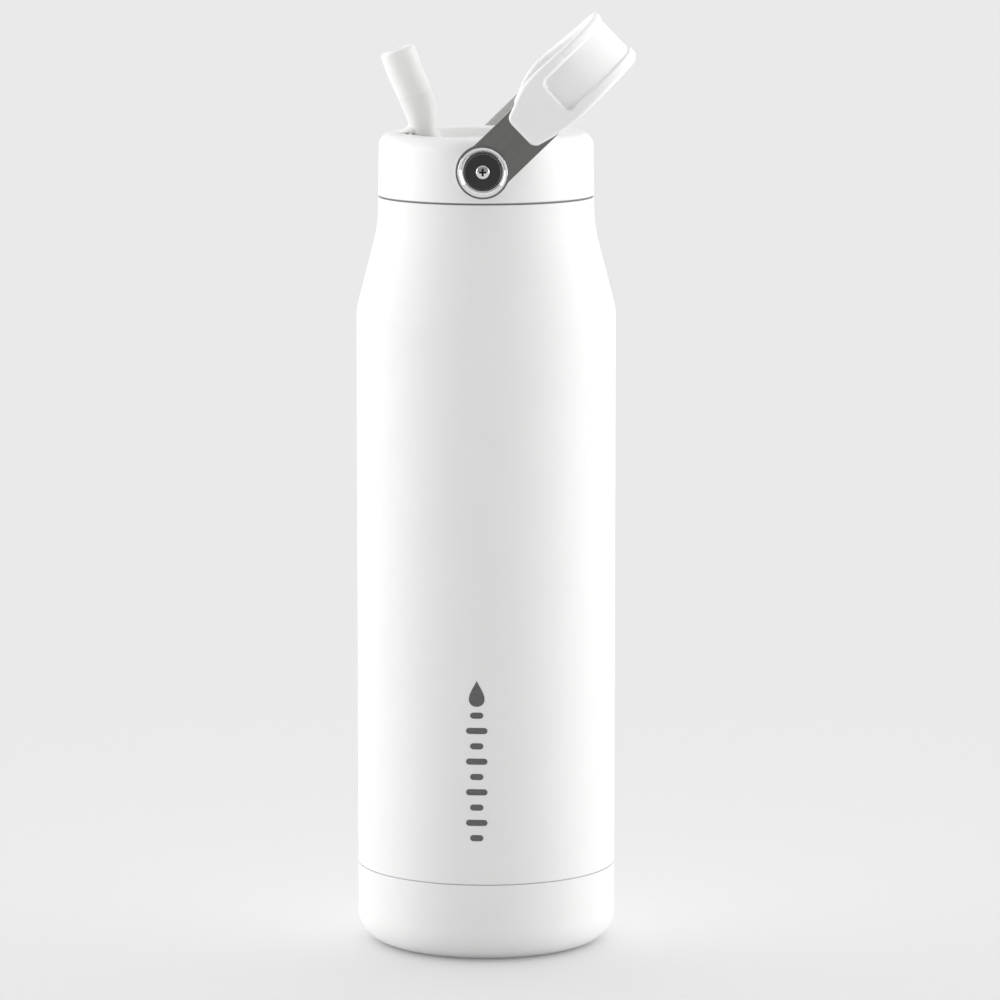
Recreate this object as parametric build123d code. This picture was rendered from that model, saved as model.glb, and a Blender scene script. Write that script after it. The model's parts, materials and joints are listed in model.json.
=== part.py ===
from build123d import *
from math import cos, radians, sin, tan
import os

# An insulated bottle with a screw lid, a flip spout with a straw, and a bail handle.
# Millimetres. The origin is on the resting face, on the bottle's axis; +Z is up, -Y is the front.

# Steel body
body_height = 212.0
body_radius = 36.5
foot_fillet = 8.5
outer_wall = 0.6
shoulder_angle = 14.5
shoulder_blend = 18.0
neck_blend = 40.0
neck_radius = 30.3
neck_length = 7.6

# Base cup, welded to the shell at a fine seam
cup_height = 22.35
cup_seam = 0.3
spigot_length = 4.0
spigot_wall = 0.6
weld_clearance = 0.04
disc_radius = 20.0
disc_thickness = 0.8
disc_recess = 1.7
plug_hole_radius = 1.0
plug_head_radius = 2.5
plug_head_height = 0.8

# Inner liner
vacuum_gap = 2.6
liner_wall = 0.5
liner_floor = 6.0
liner_fillet = 9.0
liner_neck_blend = 16.0
neck_gap = 2.2
rim_thickness = 0.6
getter_radius = 4.0
getter_height = 1.8
getter_offset = 13.0

# Screw thread between the neck and the lid's plug
thread_pitch = 4.0
thread_turns = 1.25
thread_ridge_root = 1.9
thread_ridge_crest = 1.3
thread_depth = 1.0
plug_clearance = 1.4
plug_thread_play = 0.3
thread_overlap = 0.25
thread_drop = 10.5

# Lid shell
lid_gap = 0.5
lid_height = 17.5
lid_step = 0.02
lid_taper = 0.24
lid_fillet = 3.6
lid_wall = 2.28
lid_roof = 2.0
lid_rim_width = 8.28
lid_recess_depth = 2.8
lid_recess_fillet = 0.8

# Plug under the lid, and its gasket
plug_depth = 15.5
plug_wall = 2.8
plug_floor = 2.0
plug_chamfer = 1.0
flange_thickness = 3.2
lid_fit = 0.1
gasket_thickness = 0.4
gasket_lip_width = 1.5
gasket_lip_height = 1.5
gasket_play = 0.05
gasket_setback = 0.38

# Flip spout: pivot place, and sizes along and across the stem
spout_pivot_x = -15.7
spout_drop = 4.0
spout_lean = 18.6
barrel_radius = 5.5
barrel_half_length = 6.8
stem_back = 3.5
stem_front = 5.35
stem_foot_front = 3.5
stem_foot_height = 5.2
stem_swell_height = 9.2
stem_top_back = 4.2
stem_half_depth = 6.2
stem_corner = 3.3
nipple_radius = 3.6
nipple_length = 8.0
mouth_length = 28.8
mouth_start = 15.3
mouth_flare = 6.0
mouth_half_width = 4.95
mouth_taper = 0.15
mouth_lip = 0.9
mouth_half_depth = 6.5
mouth_corner = 4.2
mouth_fit = 0.03
passage_radius = 3.0
tab_reach = 8.2
tab_thickness = 0.6
tab_blend_height = 2.0
tab_blend_depth = 0.7
tab_half_width = 5.2
tab_clearance = 0.35

# Trough that the spout folds into
trough_half_width = 8.0
trough_end_clearance = 1.5
trough_back_clearance = 0.5
trough_floor_clearance = 0.2
trough_corner = 1.5
tub_wall = 1.6
tub_floor = 2.2
pin_radius = 1.5
pin_fit = 0.02
running_fit = 0.05
pin_boss_radius = 3.2
pin_boss_length = 3.5
pin_engagement = 2.6
seal_radius = 4.8
seal_depth = 1.2
seal_gap = 0.1
vent_radius = 0.8
vent_hole_x = 8.0

# Straw, its connector and the vent valve
straw_radius = 4.0
straw_wall = 0.8
straw_floor_gap = 3.5
straw_insertion = 14.0
port_wall = 1.1
port_fit = 0.05
port_length = 14.0
port_flange_height = 1.9
tube_wall = 1.2
tube_drop = 5.0
valve_x = 12.0
valve_disc_radius = 3.4
valve_disc_height = 0.8
valve_stem_radius = 1.2
valve_bulb_radius = 1.8
valve_bulb_height = 1.6

# Handle: strap, grip and the angle that it stands at above the horizontal
handle_angle = 44.0
pivot_drop = 8.6
eye_radius = 7.5
eye_blend = 3.0
strap_width = 13.7
strap_thickness = 1.5
strap_reach = 49.3
bail_radius = 21.0
grip_start = 15.0
grip_tip_half_width = 4.8
grip_shoulder = 19.0
grip_shoulder_half_width = 6.4
grip_full = 26.5
grip_front_half_width = 7.9
grip_back_half_width = 9.5
grip_corner = 2.5
grip_floor_depth = 1.0
grip_rim_depth = 1.8
grip_inner_depth = 1.7
channel_start = 28.1
channel_margin = 2.8
channel_corner = 2.0

# Pivot stack, from the lid outwards
pad_height = 0.62
pad_radius = 7.0
washer_thickness = 0.4
washer_radius = 6.9
side_play = 0.05
bush_radius = 4.45
ring_radius = 6.85
ring_lip = 0.35
ring_height = 1.4
ring_floor = 0.3
cap_radius = 4.9
cap_thickness = 0.7
cap_fit = 0.05
ring_pocket_depth = 0.6
screw_radius = 1.25
screw_hole_fit = 0.1
screw_head_radius = 1.95
screw_head_height = 0.6
screw_sink = 0.4
screw_length = 7.0
cross_width = 0.5
cross_length = 2.4
cross_depth = 0.35
insert_radius = 2.0
insert_length = 5.0
insert_fit = 0.02
insert_boss_radius = 4.0
insert_boss_length = 4.2

# Sizes that follow from the ones above
shoulder_tan = tan(radians(shoulder_angle))
shoulder_start = body_height - neck_length - (body_radius - neck_radius) / shoulder_tan
neck_bore = neck_radius - outer_wall - neck_gap - liner_wall
liner_neck_length = plug_depth - lid_gap
neck_thread_low = body_height - thread_drop
lid_radius = neck_radius - lid_step
lid_recess_radius = lid_radius - lid_rim_width
straw_low = liner_floor + liner_wall + straw_floor_gap
pad_face = lid_radius + pad_height
lid_bottom = body_height + lid_gap
lid_top = lid_bottom + lid_height
recess_floor = lid_top - lid_recess_depth
roof_low = recess_floor - lid_roof
cavity_radius = lid_radius - lid_wall
core_bottom = lid_bottom - plug_depth
plug_radius = neck_bore - plug_clearance
liner_radius = body_radius - outer_wall - vacuum_gap
pivot_z = lid_top - pivot_drop
spout_pivot_z = lid_top - spout_drop
trough_floor = spout_pivot_z - barrel_radius - trough_floor_clearance
tub_bottom = trough_floor - tub_floor
port_x = spout_pivot_x + barrel_radius * sin(radians(spout_lean))
port_radius = straw_radius + port_fit + port_wall
core_tube_radius = port_radius + port_fit + tube_wall
core_tube_low = core_bottom - tube_drop
strap_inside = pad_face + washer_thickness + side_play
strap_outside = strap_inside + strap_thickness
ring_base = strap_outside + side_play
cap_base = ring_base + ring_floor
cap_face = cap_base + cap_thickness
screw_seat = cap_face - screw_sink
channel_half_width = (grip_front_half_width + grip_back_half_width) / 2 - channel_margin
channel_centre = (grip_front_half_width - grip_back_half_width) / 2
side_signs = {"front": -1, "back": 1}


def lathe(*points):
    """Solid of revolution about Z through (radius, height) points."""
    return revolve(Plane.XZ * make_face(Polyline(*points, close=True)), Axis.Z)


def tube(outer, inner, low, high, x=0.0):
    """Upright tube, or a rod when inner is 0."""
    section = Circle(outer)
    if inner > 0:
        section -= Circle(inner)
    return Pos(x, 0, low) * extrude(section, high - low)


def cross_rod(radius, start, end, x, z):
    """Round rod along Y from start to end, both measured along Y."""
    return Plane(origin=(x, start, z), z_dir=(0, 1, 0)) * extrude(Circle(radius), end - start)


def side_tube(sign, outer, inner, start, end):
    """Tube on the handle's pivot axis; start and end are distances from the bottle's axis."""
    section = Circle(outer)
    if inner > 0:
        section -= Circle(inner)
    plane = Plane(origin=(0, sign * start, pivot_z), x_dir=(1, 0, 0), z_dir=(0, sign, 0))
    return plane * extrude(section, end - start)


def vessel(radius, neck, floor, shoulder, top, corner, low_blend, high_blend):
    """Filled bottle shape: round foot corner, cylinder, cone, straight neck."""
    cone_top = shoulder + (radius - neck) / shoulder_tan
    side = FilletPolyline(
        (0, floor),
        (radius, floor),
        (radius, shoulder),
        (neck, cone_top),
        (neck, top),
        radius=[corner, low_blend, high_blend],
    )
    closing = Polyline((neck, top), (0, top), (0, floor))
    return revolve(Plane.XZ * make_face(side + closing), Axis.Z)


def body_form(inset, top):
    """The outer body's form, moved inwards by inset all over."""
    half_angle_tan = tan(radians(shoulder_angle / 2))
    return vessel(
        body_radius - inset,
        neck_radius - inset,
        inset,
        shoulder_start - inset * half_angle_tan,
        top,
        foot_fillet - inset,
        shoulder_blend - inset,
        neck_blend + inset,
    )


def thread_ridge(root, crest, low):
    """Helical ridge from root radius to crest radius, starting at height low."""
    path = Helix(thread_pitch, thread_pitch * thread_turns, root, center=(0, 0, low))
    half_root = thread_ridge_root / 2
    half_crest = thread_ridge_crest / 2
    depth = crest - root
    section = make_face(
        Polyline((0, -half_root), (depth, -half_crest), (depth, half_crest), (0, half_root), close=True)
    )
    start = Plane(origin=path @ 0, x_dir=(1, 0, 0), z_dir=path % 0)
    return sweep(start * section, path=path, is_frenet=True)


def outer_shell():
    """Outer wall from the low seam to the top of the neck."""
    wall = body_form(0, body_height) - body_form(outer_wall, body_height + 1)
    return wall - tube(body_radius + 1, 0, -1, cup_height + cup_seam)


def base_cup():
    """Bottom cup with a spigot inside the shell and a recess for the cover disc."""
    wall = body_form(0, body_height) - body_form(outer_wall, body_height + 1)
    cup = wall - tube(body_radius + 1, 0, cup_height, body_height + 1)
    spigot_radius = body_radius - outer_wall - weld_clearance
    overlap = 2 * spigot_length
    cup += tube(
        body_radius - outer_wall + weld_clearance,
        spigot_radius - spigot_wall,
        cup_height - overlap / 2,
        cup_height,
    )
    spigot_high = cup_height + spigot_length
    cup += tube(spigot_radius, spigot_radius - spigot_wall, cup_height - outer_wall, spigot_high)
    recess_radius = disc_radius + weld_clearance
    cup += tube(recess_radius + outer_wall, 0, outer_wall / 2, disc_recess + outer_wall)
    cup -= tube(recess_radius, 0, -1, disc_recess)
    return cup - tube(plug_hole_radius, 0, 0, disc_recess + outer_wall + 1)


def base_disc():
    """Cover disc, flush with the foot."""
    disc = tube(disc_radius, 0, 0, disc_thickness)
    return chamfer(disc.edges().group_by(Axis.Z)[-1], disc_thickness / 4)


def vacuum_plug():
    """Solder plug: shank in the evacuation hole, bead under the cup's floor."""
    shank = tube(plug_hole_radius - weld_clearance, 0, disc_recess - 0.1, disc_recess + outer_wall)
    head = tube(plug_head_radius, 0, disc_recess - plug_head_height, disc_recess)
    head = fillet(head.edges().group_by(Axis.Z)[0], plug_head_height / 3)
    return head + shank


def liner_form(inset, top):
    """The liner's outside, moved inwards by inset."""
    neck = neck_bore + liner_wall
    neck_low = body_height - liner_neck_length
    half_angle_tan = tan(radians(shoulder_angle / 2))
    shoulder = neck_low - (liner_radius - neck) / shoulder_tan
    return vessel(
        liner_radius - inset,
        neck - inset,
        liner_floor + inset,
        shoulder - inset * half_angle_tan,
        top,
        liner_fillet - inset,
        shoulder_blend - inset,
        liner_neck_blend + inset,
    )


def inner_liner():
    """Inner vessel with its rim, welded inside the shell's neck, and the neck thread."""
    liner = liner_form(0, body_height) - liner_form(liner_wall, body_height + 1)
    rim_radius = neck_radius - outer_wall - weld_clearance
    liner += tube(rim_radius, neck_bore, body_height - rim_thickness, body_height)
    root = neck_bore + thread_overlap
    return liner + thread_ridge(root, neck_bore - thread_depth, neck_thread_low)


def getter():
    """Getter pellet under the liner's floor."""
    pellet = tube(getter_radius, 0, liner_floor - getter_height, liner_floor, getter_offset)
    return chamfer(pellet.edges().group_by(Axis.Z)[0], getter_height / 4)


def lid_blank():
    """Outside of the lid: slight taper and a round top edge."""
    top_radius = lid_radius - lid_taper
    side = FilletPolyline(
        (0, lid_bottom),
        (lid_radius, lid_bottom),
        (top_radius, lid_top),
        (0, lid_top),
        radius=[lid_fillet / 12, lid_fillet],
    )
    return revolve(Plane.XZ * make_face(side + Line((0, lid_top), (0, lid_bottom))), Axis.Z)


def trough_section(grow):
    """Outline of the spout trough, seen from above, grown outwards by grow."""
    left = spout_pivot_x - barrel_radius - trough_back_clearance
    right = spout_pivot_x + mouth_length + trough_end_clearance
    width = right - left + 2 * grow
    height = 2 * (trough_half_width + grow)
    return Pos((left + right) / 2, 0) * RectangleRounded(width, height, trough_corner + grow)


def lid_shell():
    """Lid with recess, spout trough, pivot pads, insert bosses and spout pin bosses."""
    shell = lid_blank() - tube(cavity_radius, 0, lid_bottom - 1, roof_low)
    recess = tube(lid_recess_radius, 0, recess_floor, lid_top + 1)
    shell -= fillet(recess.edges().group_by(Axis.Z)[0], lid_recess_fillet)
    shell += Pos(0, 0, tub_bottom) * extrude(trough_section(tub_wall), recess_floor - tub_bottom)
    boss_end = trough_half_width + pin_boss_length
    shell += cross_rod(pin_boss_radius, -boss_end, boss_end, spout_pivot_x, spout_pivot_z)
    shell -= Pos(0, 0, trough_floor) * extrude(trough_section(0), lid_top - trough_floor + 1)
    for sign in side_signs.values():
        shell += side_tube(sign, pad_radius, 0, cavity_radius + 0.05, pad_face)
        boss_start = cavity_radius - insert_boss_length
        shell += side_tube(sign, insert_boss_radius, 0, boss_start, cavity_radius + 1)
    for sign in side_signs.values():
        insert_end = pad_face - insert_length - 1
        shell -= side_tube(sign, insert_radius + insert_fit, 0, insert_end, pad_face + 1)
    shell -= cross_rod(pin_radius + pin_fit, -boss_end - 1, boss_end + 1, spout_pivot_x, spout_pivot_z)
    shell -= tube(seal_radius, 0, trough_floor - seal_depth, trough_floor + 1, port_x)
    shell -= tube(passage_radius, 0, tub_bottom - 1, trough_floor, port_x)
    shell -= tube(vent_radius, 0, tub_bottom - 1, trough_floor + 1, vent_hole_x)
    rim_edges = shell.edges().filter_by(GeomType.CIRCLE).group_by(Axis.Z)[-1]
    return fillet(rim_edges, lid_recess_fillet)


def spout_seal():
    """Soft ring in the trough's floor, round the port."""
    low = trough_floor - seal_depth
    high = spout_pivot_z - barrel_radius - seal_gap
    ring = tube(seal_radius - running_fit, passage_radius, low, high, port_x)
    return fillet(ring.edges().group_by(Axis.Z)[-1], 0.25)


def lid_core():
    """Threaded plug with a flange, a gasket groove and the straw tube."""
    flange_radius = cavity_radius - lid_fit
    flange_top = lid_bottom + flange_thickness
    inner = plug_radius - plug_wall
    core = lathe(
        (0, core_bottom),
        (plug_radius - plug_chamfer, core_bottom),
        (plug_radius, core_bottom + plug_chamfer),
        (plug_radius, lid_bottom),
        (flange_radius, lid_bottom),
        (flange_radius, flange_top),
        (inner, flange_top),
        (inner, core_bottom + plug_floor),
        (0, core_bottom + plug_floor),
    )
    lip_out, lip_in = gasket_lip_radii()
    core -= tube(
        lip_out + gasket_play,
        lip_in - gasket_play,
        lid_bottom - 1,
        lid_bottom + gasket_lip_height + gasket_play,
    )
    core += tube(core_tube_radius, 0, core_tube_low, tub_bottom - gasket_play, port_x)
    core -= tube(port_radius + port_fit, 0, core_tube_low - 1, core_tube_low + port_length, port_x)
    core -= tube(passage_radius, 0, core_tube_low, tub_bottom + 1, port_x)
    core -= tube(valve_stem_radius + port_fit, 0, core_bottom - 1, core_bottom + plug_floor + 1, valve_x)
    root = plug_radius - thread_overlap
    crest = neck_bore - plug_thread_play
    low = neck_thread_low - thread_pitch / 2
    return core + thread_ridge(root, crest, low)


def gasket_lip_radii():
    """Outer and inner radius of the gasket's upright lip."""
    outer = cavity_radius - lid_fit - 0.4
    return outer, outer - gasket_lip_width


def lid_gasket():
    """Flat gasket that seals on the rim, held by its lip in the core's groove."""
    lip_out, lip_in = gasket_lip_radii()
    high = lid_bottom - gasket_play
    low = high - gasket_thickness
    return lathe(
        (lip_in, low),
        (neck_radius - gasket_setback, low),
        (neck_radius - gasket_setback, high),
        (lip_out, high),
        (lip_out, lid_bottom + gasket_lip_height),
        (lip_in, lid_bottom + gasket_lip_height),
    )


def straw_port():
    """Soft sleeve that joins the straw to the plug."""
    high = core_tube_low + port_length - port_fit
    low = core_tube_low - port_flange_height
    inner = straw_radius + port_fit
    sleeve = tube(port_radius, inner, low, high, port_x)
    return sleeve + tube(core_tube_radius, inner, low, core_tube_low - port_fit, port_x)


def straw():
    """Straight drinking tube."""
    high = core_tube_low + straw_insertion - 2 * port_fit
    return tube(straw_radius, straw_radius - straw_wall, straw_low, high, port_x)


def vent_valve():
    """Umbrella valve under the plug's floor."""
    disc_high = core_bottom - port_fit
    disc = tube(valve_disc_radius, 0, disc_high - valve_disc_height, disc_high, valve_x)
    disc = fillet(disc.edges().group_by(Axis.Z)[0], valve_disc_height / 2)
    bulb_low = core_bottom + plug_floor + port_fit
    stem = tube(valve_stem_radius, 0, core_bottom - 0.2, bulb_low + 0.2, valve_x)
    upright = (Align.CENTER, Align.CENTER, Align.MIN)
    bulb = Cone(valve_bulb_radius, valve_stem_radius, valve_bulb_height, align=upright)
    bulb = Pos(valve_x, 0, bulb_low) * bulb
    return disc + stem + bulb


def spout_place():
    """Location of the spout: its own +Z runs along the stem from the pivot."""
    return Pos(spout_pivot_x, 0, spout_pivot_z) * Rot(0, -spout_lean, 0)


def stem_section(back, front, half_depth, corner, height):
    """Rounded section across the stem at a height; back is towards -X, front towards +X."""
    outline = RectangleRounded(back + front, 2 * half_depth, corner)
    return Pos((front - back) / 2, 0, height) * outline


def mouth_form():
    """Outside of the mouthpiece."""
    flare_height = mouth_start + mouth_flare
    wide = mouth_half_width + mouth_taper
    narrow_depth = mouth_half_depth - 2 * mouth_taper
    low = stem_section(stem_top_back, stem_front, stem_half_depth, stem_corner, mouth_start)
    mid = stem_section(mouth_half_width - mouth_taper, wide, mouth_half_depth, mouth_corner, flare_height)
    high = stem_section(mouth_half_width, mouth_half_width, narrow_depth, mouth_corner, mouth_length)
    mouth = loft([low, mid]) + loft([mid, high])
    return fillet(mouth.edges().group_by(Axis.Z)[-1], mouth_lip)


def thumb_tab():
    """Tab on the back of the stem that the thumb lifts; flat underneath when the spout is open."""
    lean = radians(spout_lean)
    level = spout_drop + tab_clearance

    def from_level(reach, height):
        """Point reach mm to the back of the pivot and height mm above it, in the stem's frame."""
        return (-reach * cos(lean) + height * sin(lean), reach * sin(lean) + height * cos(lean))

    tip_low = from_level(tab_reach, level)
    tip_high = from_level(tab_reach - 0.2, level + tab_thickness)
    root_low = from_level(stem_back, level)
    blend_end = (-stem_back, tip_high[1] + tab_blend_height)
    blend_middle = (-stem_back - tab_blend_depth, tip_high[1] + tab_blend_height / 4)
    outline = Polyline(blend_end, (0, blend_end[1]), (0, root_low[1]), root_low, tip_low, tip_high)
    outline += ThreePointArc(tip_high, blend_middle, blend_end)
    return extrude(Plane.XZ * make_face(outline), tab_half_width, both=True)


def spout_carrier():
    """Barrel, stem, tab and the nipple that carries the mouthpiece."""
    carrier = cross_rod(barrel_radius, -barrel_half_length, barrel_half_length, 0, 0)
    stem = [
        stem_section(stem_back, stem_foot_front, stem_half_depth, stem_corner, 0),
        stem_section(stem_back, stem_foot_front, stem_half_depth, stem_corner, stem_foot_height),
        stem_section(stem_back, stem_front, stem_half_depth, stem_corner, stem_swell_height),
        stem_section(stem_top_back, stem_front, stem_half_depth, stem_corner, mouth_start - mouth_fit),
    ]
    for low, high in zip(stem, stem[1:]):
        carrier += loft([low, high])
    carrier += thumb_tab()
    carrier += tube(nipple_radius, 0, mouth_start - 1, mouth_start + nipple_length)
    carrier -= tube(passage_radius, 0, -barrel_radius - 1, mouth_length)
    for sign in side_signs.values():
        start = barrel_half_length - pin_engagement - 0.1
        carrier -= Plane(origin=(0, sign * start, 0), z_dir=(0, sign, 0)) * extrude(
            Circle(pin_radius + running_fit), pin_engagement + 1
        )
    return spout_place() * carrier


def spout_mouthpiece():
    """Soft sleeve over the nipple."""
    mouth = mouth_form() - tube(passage_radius, 0, mouth_start - 1, mouth_length + 1)
    mouth -= tube(nipple_radius + mouth_fit, 0, mouth_start - 1, mouth_start + nipple_length + mouth_fit)
    return spout_place() * mouth


def spout_pin(sign):
    """Stub pin pressed in the lid's boss; the barrel turns on its inner end."""
    inner = barrel_half_length - pin_engagement
    outer = trough_half_width + pin_boss_length
    plane = Plane(origin=(spout_pivot_x, sign * inner, spout_pivot_z), z_dir=(0, sign, 0))
    pin = plane * extrude(Circle(pin_radius), outer - inner)
    return chamfer(pin.edges().group_by(Axis.Y)[0 if sign > 0 else -1], 0.2)


def handle_place():
    """Location of the handle: its own +Z runs from the pivot along the arms."""
    return Pos(0, 0, pivot_z) * Rot(0, 90 - handle_angle, 0)


def bail_block(offset, low):
    """Solid bounded by the bail's arch, offset outwards from the strap's outer face."""
    half = strap_outside + offset
    crown = strap_reach + offset
    corners = [(-half, low), (-half, crown), (half, crown), (half, low)]
    arch = FilletPolyline(*corners, radius=bail_radius + offset)
    face = make_face(arch + Line((half, low), (-half, low)))
    return extrude(Plane.YZ * face, 2 * grip_back_half_width, both=True)


def through_plate(section):
    """Extrude an outline drawn in the arm's plane through both arms."""
    return extrude(Plane.XZ * section, strap_outside + 2 * bail_radius, both=True)


def strap_outline():
    """Eye and strip of one arm, with small blends between them."""
    strip_top = 2 * strap_reach
    outline = Circle(eye_radius)
    outline += Pos(0, strip_top / 2) * Rectangle(strap_width, strip_top)
    corners = outline.vertices().filter_by_position(Axis.Y, 0.5, eye_radius)
    return fillet(corners, eye_blend)


def strap_solid():
    """Strap in the handle's own frame."""
    low = -2 * eye_radius
    band = bail_block(0, low) - bail_block(-strap_thickness, low - 1)
    strap = band & through_plate(strap_outline())
    bore = cross_rod(bush_radius + running_fit, -strap_outside - 1, strap_outside + 1, 0, 0)
    return strap - bore


def handle_strap():
    """Flat steel bail with an eye at each end."""
    return handle_place() * strap_solid()


def tongue_outline():
    """Outline of the grip on each arm: narrow tip, then full width, wider at the back."""
    top = 2 * strap_reach
    sides = []
    for side, full_width in ((1, grip_front_half_width), (-1, -grip_back_half_width)):
        sides.append(
            [
                (side * grip_tip_half_width, grip_start),
                (side * grip_shoulder_half_width, grip_shoulder),
                (full_width, grip_full),
                (full_width, top),
            ]
        )
    front, back = sides
    bend = 4 * grip_corner
    radii = [bend, bend, grip_corner, grip_corner, bend, bend]
    line = FilletPolyline(*reversed(back), *front, radius=radii)
    return make_face(line + Line(front[-1], back[-1]))


def grip_channel():
    """Shallow channel along the outside of the grip."""
    low = channel_start - 1
    band = bail_block(grip_rim_depth + 1, low) - bail_block(grip_floor_depth, low - 1)
    height = 2 * strap_reach
    outline = RectangleRounded(2 * channel_half_width, height, channel_corner)
    outline = Pos(channel_centre, channel_start + height / 2) * outline
    return band & through_plate(outline)


def handle_grip():
    """Grip moulded over the strap."""
    low = grip_start - 1
    inner = -strap_thickness - grip_inner_depth
    grip = bail_block(grip_rim_depth, low) - bail_block(inner, low - 1)
    grip &= through_plate(tongue_outline())
    grip -= grip_channel()
    return handle_place() * (grip - strap_solid())


def pivot_washer(sign):
    """Thin washer between the lid's pad and the strap."""
    return side_tube(sign, washer_radius, bush_radius + running_fit, pad_face, pad_face + washer_thickness)


def pivot_bush(sign):
    """Bush that the strap's eye turns on."""
    return side_tube(sign, bush_radius, screw_radius + screw_hole_fit, pad_face, ring_base)


def pivot_ring(sign):
    """Polished dished ring that keeps the eye on its bush."""
    lip_face = ring_base + ring_height
    pocket = cap_radius + cap_fit
    plane = Plane(origin=(0, 0, pivot_z), x_dir=(1, 0, 0), z_dir=(0, 0, sign))
    hole = screw_radius + screw_hole_fit
    profile = Polyline(
        (hole, ring_base),
        (ring_radius, ring_base),
        (ring_radius, lip_face),
        (ring_radius - ring_lip, lip_face),
        (pocket, cap_base + ring_pocket_depth),
        (pocket, cap_base),
        (hole, cap_base),
        close=True,
    )
    return revolve(plane * make_face(profile), Axis((0, 0, pivot_z), (0, 1, 0)))


def pivot_cap(sign):
    """Black disc in the ring, sunk for the screw's head."""
    cap = side_tube(sign, cap_radius, screw_radius + screw_hole_fit, cap_base, cap_face)
    return cap - side_tube(sign, screw_head_radius + cap_fit, 0, screw_seat, cap_face + 1)


def pivot_screw(sign):
    """Cross-head screw through the stack into the insert."""
    head_face = screw_seat + screw_head_height
    head = side_tube(sign, screw_head_radius, 0, screw_seat, head_face)
    outermost = head.edges().group_by(Axis.Y)[-1 if sign > 0 else 0]
    screw = fillet(outermost, screw_head_height / 2)
    screw += side_tube(sign, screw_radius, 0, screw_seat - screw_length, screw_seat)
    for length, width in ((cross_length, cross_width), (cross_width, cross_length)):
        slot = Plane(origin=(0, sign * (head_face - cross_depth), pivot_z), z_dir=(0, sign, 0))
        screw -= slot * extrude(Rectangle(length, width), cross_depth + 1)
    return screw


def pivot_insert(sign):
    """Brass insert in the lid's boss, grooved round its middle."""
    end = pad_face - side_play
    insert = side_tube(sign, insert_radius, screw_radius + insert_fit, end - insert_length, end)
    middle = end - insert_length / 2
    groove = side_tube(sign, insert_radius + 1, insert_radius - 0.3, middle - 0.4, middle + 0.4)
    return insert - groove


def all_pieces():
    """Every node of the bottle by name."""
    pieces = {
        "outer_shell": outer_shell(),
        "inner_liner": inner_liner(),
        "base_cup": base_cup(),
        "base_disc": base_disc(),
        "getter": getter(),
        "vacuum_plug": vacuum_plug(),
        "lid_gasket": lid_gasket(),
        "lid_shell": lid_shell(),
        "lid_core": lid_core(),
        "straw_port": straw_port(),
        "straw": straw(),
        "vent_valve": vent_valve(),
        "spout_seal": spout_seal(),
        "spout_carrier": spout_carrier(),
        "spout_mouthpiece": spout_mouthpiece(),
        "handle_strap": handle_strap(),
        "handle_grip": handle_grip(),
    }
    for side, sign in side_signs.items():
        pieces["spout_pin_" + side] = spout_pin(sign)
        pieces["pivot_washer_" + side] = pivot_washer(sign)
        pieces["pivot_bush_" + side] = pivot_bush(sign)
        pieces["pivot_ring_" + side] = pivot_ring(sign)
        pieces["pivot_cap_" + side] = pivot_cap(sign)
        pieces["pivot_screw_" + side] = pivot_screw(sign)
        pieces["pivot_insert_" + side] = pivot_insert(sign)
    return pieces


os.makedirs("parts", exist_ok=True)
for node, solid in all_pieces().items():
    export_step(solid, "parts/" + node + ".step")
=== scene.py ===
import json
from math import atan2, ceil, cos, pi, radians, sin, sqrt

import bmesh
import bpy
from mathutils import Matrix, Vector


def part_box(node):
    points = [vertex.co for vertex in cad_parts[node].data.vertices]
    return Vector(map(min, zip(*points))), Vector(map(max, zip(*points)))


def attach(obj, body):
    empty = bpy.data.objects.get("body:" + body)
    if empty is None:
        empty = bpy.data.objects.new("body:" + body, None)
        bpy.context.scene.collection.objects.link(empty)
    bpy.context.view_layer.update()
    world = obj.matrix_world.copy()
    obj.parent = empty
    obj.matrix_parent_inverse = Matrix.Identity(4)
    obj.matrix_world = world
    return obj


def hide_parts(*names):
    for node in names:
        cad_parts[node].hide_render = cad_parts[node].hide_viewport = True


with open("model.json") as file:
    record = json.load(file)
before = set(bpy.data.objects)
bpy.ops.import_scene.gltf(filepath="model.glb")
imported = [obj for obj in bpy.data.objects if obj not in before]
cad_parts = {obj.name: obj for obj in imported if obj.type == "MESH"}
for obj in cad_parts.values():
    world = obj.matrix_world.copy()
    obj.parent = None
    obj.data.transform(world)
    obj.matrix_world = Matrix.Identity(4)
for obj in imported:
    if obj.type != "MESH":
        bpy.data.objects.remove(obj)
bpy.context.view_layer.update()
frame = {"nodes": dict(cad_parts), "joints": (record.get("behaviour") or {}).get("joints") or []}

bl_info = {
    "name": "Insulated bottle finish",
    "version": (1, 0, 0),
    "blender": (4, 5, 0),
    "location": "3D View > Sidebar > Bottle",
    "description": "Finished shells, grip, spout and materials for an insulated water bottle",
    "category": "Object",
}

MM = 0.001
NODES = frame["nodes"]
SIDES = {"front": -1.0, "back": 1.0}
JOINTS = {joint["name"]: joint for joint in frame["joints"]}

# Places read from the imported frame: the pivots in metres, the radius and the reach in millimetres
PIVOT = Vector(JOINTS["handle_swing"]["pos_m"])
SPOUT_PIVOT = Vector(JOINTS["spout_flip"]["pos_m"])
SHELL_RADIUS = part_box("outer_shell")[1].x / MM
STRAP_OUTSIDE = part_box("handle_strap")[1].y / MM

# Frames of the handle and of the spout: millimetres, their own +Z along the arm or the stem
HANDLE_ANGLE = radians(44.0)
SPOUT_LEAN = radians(18.6)
SCALE = Matrix.Scale(MM, 4)
HANDLE_FRAME = Matrix.Translation(PIVOT) @ Matrix.Rotation(pi / 2 - HANDLE_ANGLE, 4, "Y") @ SCALE
SPOUT_FRAME = Matrix.Translation(SPOUT_PIVOT) @ Matrix.Rotation(-SPOUT_LEAN, 4, "Y") @ SCALE


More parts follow.
